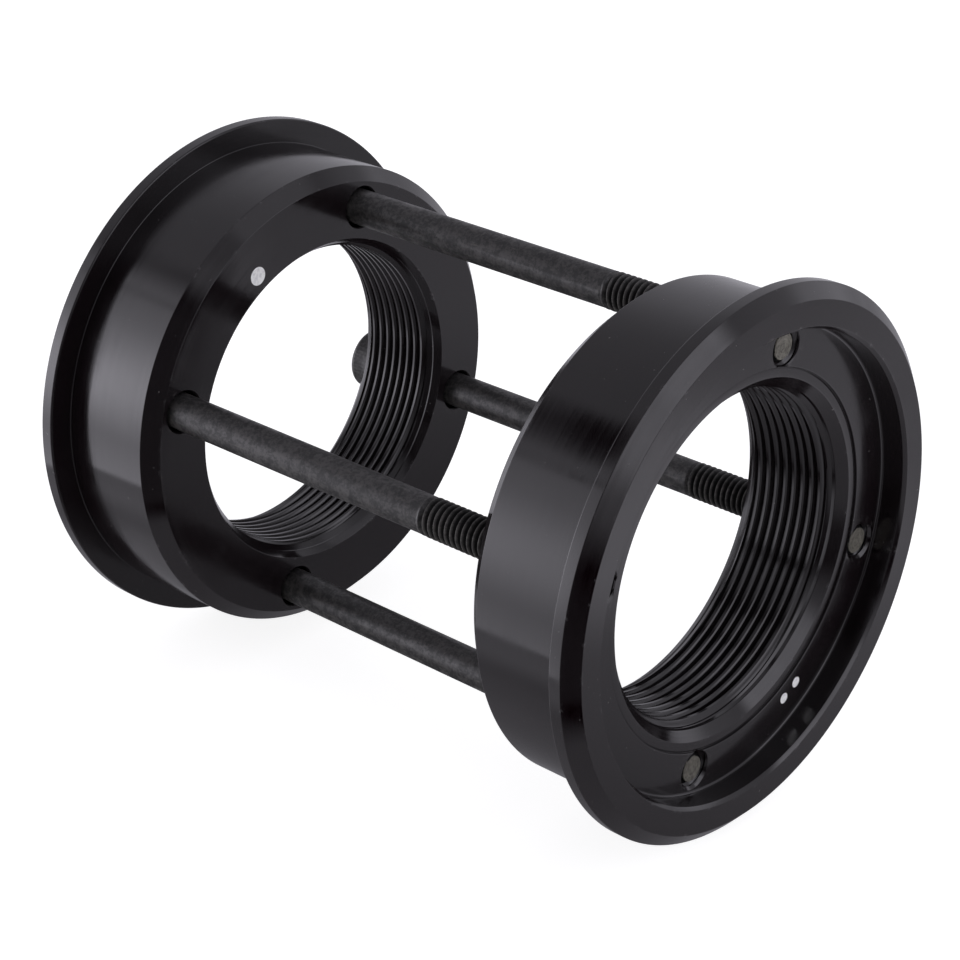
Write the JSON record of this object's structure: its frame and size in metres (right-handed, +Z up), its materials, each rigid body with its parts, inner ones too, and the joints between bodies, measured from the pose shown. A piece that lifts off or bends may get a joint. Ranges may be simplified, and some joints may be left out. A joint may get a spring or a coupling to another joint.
{
  "type": "conversion bottom bracket",
  "caption": "Flanged cups, drawn together by long bolts, that clamp in a wide unthreaded crank shell and give it threads for ordinary bearing cups.",
  "frame": {"origin": "on the crank spindle's axis, halfway between the two flange faces that clamp the shell", "axes": "+X along the spindle's axis to the drive side, +Y forward on the bicycle, +Z up"},
  "size_m": [0.0734, 0.0564, 0.0564],
  "materials": {
    "cup_black": "glossy black anodised, machined",
    "bolt_black": "black oxide, lightly oiled"
  },
  "bodies": {
    "left_cup": {"left_cup": "cup_black"},
    "right_cup": {"right_cup": "cup_black"},
    "bolt_top": {"bolt_top": "bolt_black"},
    "bolt_front": {"bolt_front": "bolt_black"},
    "bolt_bottom": {"bolt_bottom": "bolt_black"},
    "bolt_back": {"bolt_back": "bolt_black"}
  },
  "joints": [
    {"name": "cup_draw", "type": "slide", "parent": "left_cup", "child": "right_cup", "axis": [-1, 0, 0], "range_m": [-0.008, 0.0085]},
    {"name": "bolt_top_turn", "type": "hinge", "parent": "left_cup", "child": "bolt_top", "pos_m": [0, 0.00572, 0.02062], "axis": [1, 0, 0], "range_deg": [-4200, 4500]},
    {"name": "bolt_front_turn", "type": "hinge", "parent": "left_cup", "child": "bolt_front", "pos_m": [0, -0.02062, 0.00572], "axis": [1, 0, 0], "range_deg": [-4200, 4500]},
    {"name": "bolt_bottom_turn", "type": "hinge", "parent": "left_cup", "child": "bolt_bottom", "pos_m": [0, -0.00572, -0.02062], "axis": [1, 0, 0], "range_deg": [-4200, 4500]},
    {"name": "bolt_back_turn", "type": "hinge", "parent": "left_cup", "child": "bolt_back", "pos_m": [0, 0.02062, -0.00572], "axis": [1, 0, 0], "range_deg": [-4200, 4500]}
  ],
  "couplings": [
    {"joint": "bolt_top_turn", "follows": "cup_draw", "rad_per_m": 8976},
    {"joint": "bolt_front_turn", "follows": "cup_draw", "rad_per_m": 8976},
    {"joint": "bolt_bottom_turn", "follows": "cup_draw", "rad_per_m": 8976},
    {"joint": "bolt_back_turn", "follows": "cup_draw", "rad_per_m": 8976}
  ]
}
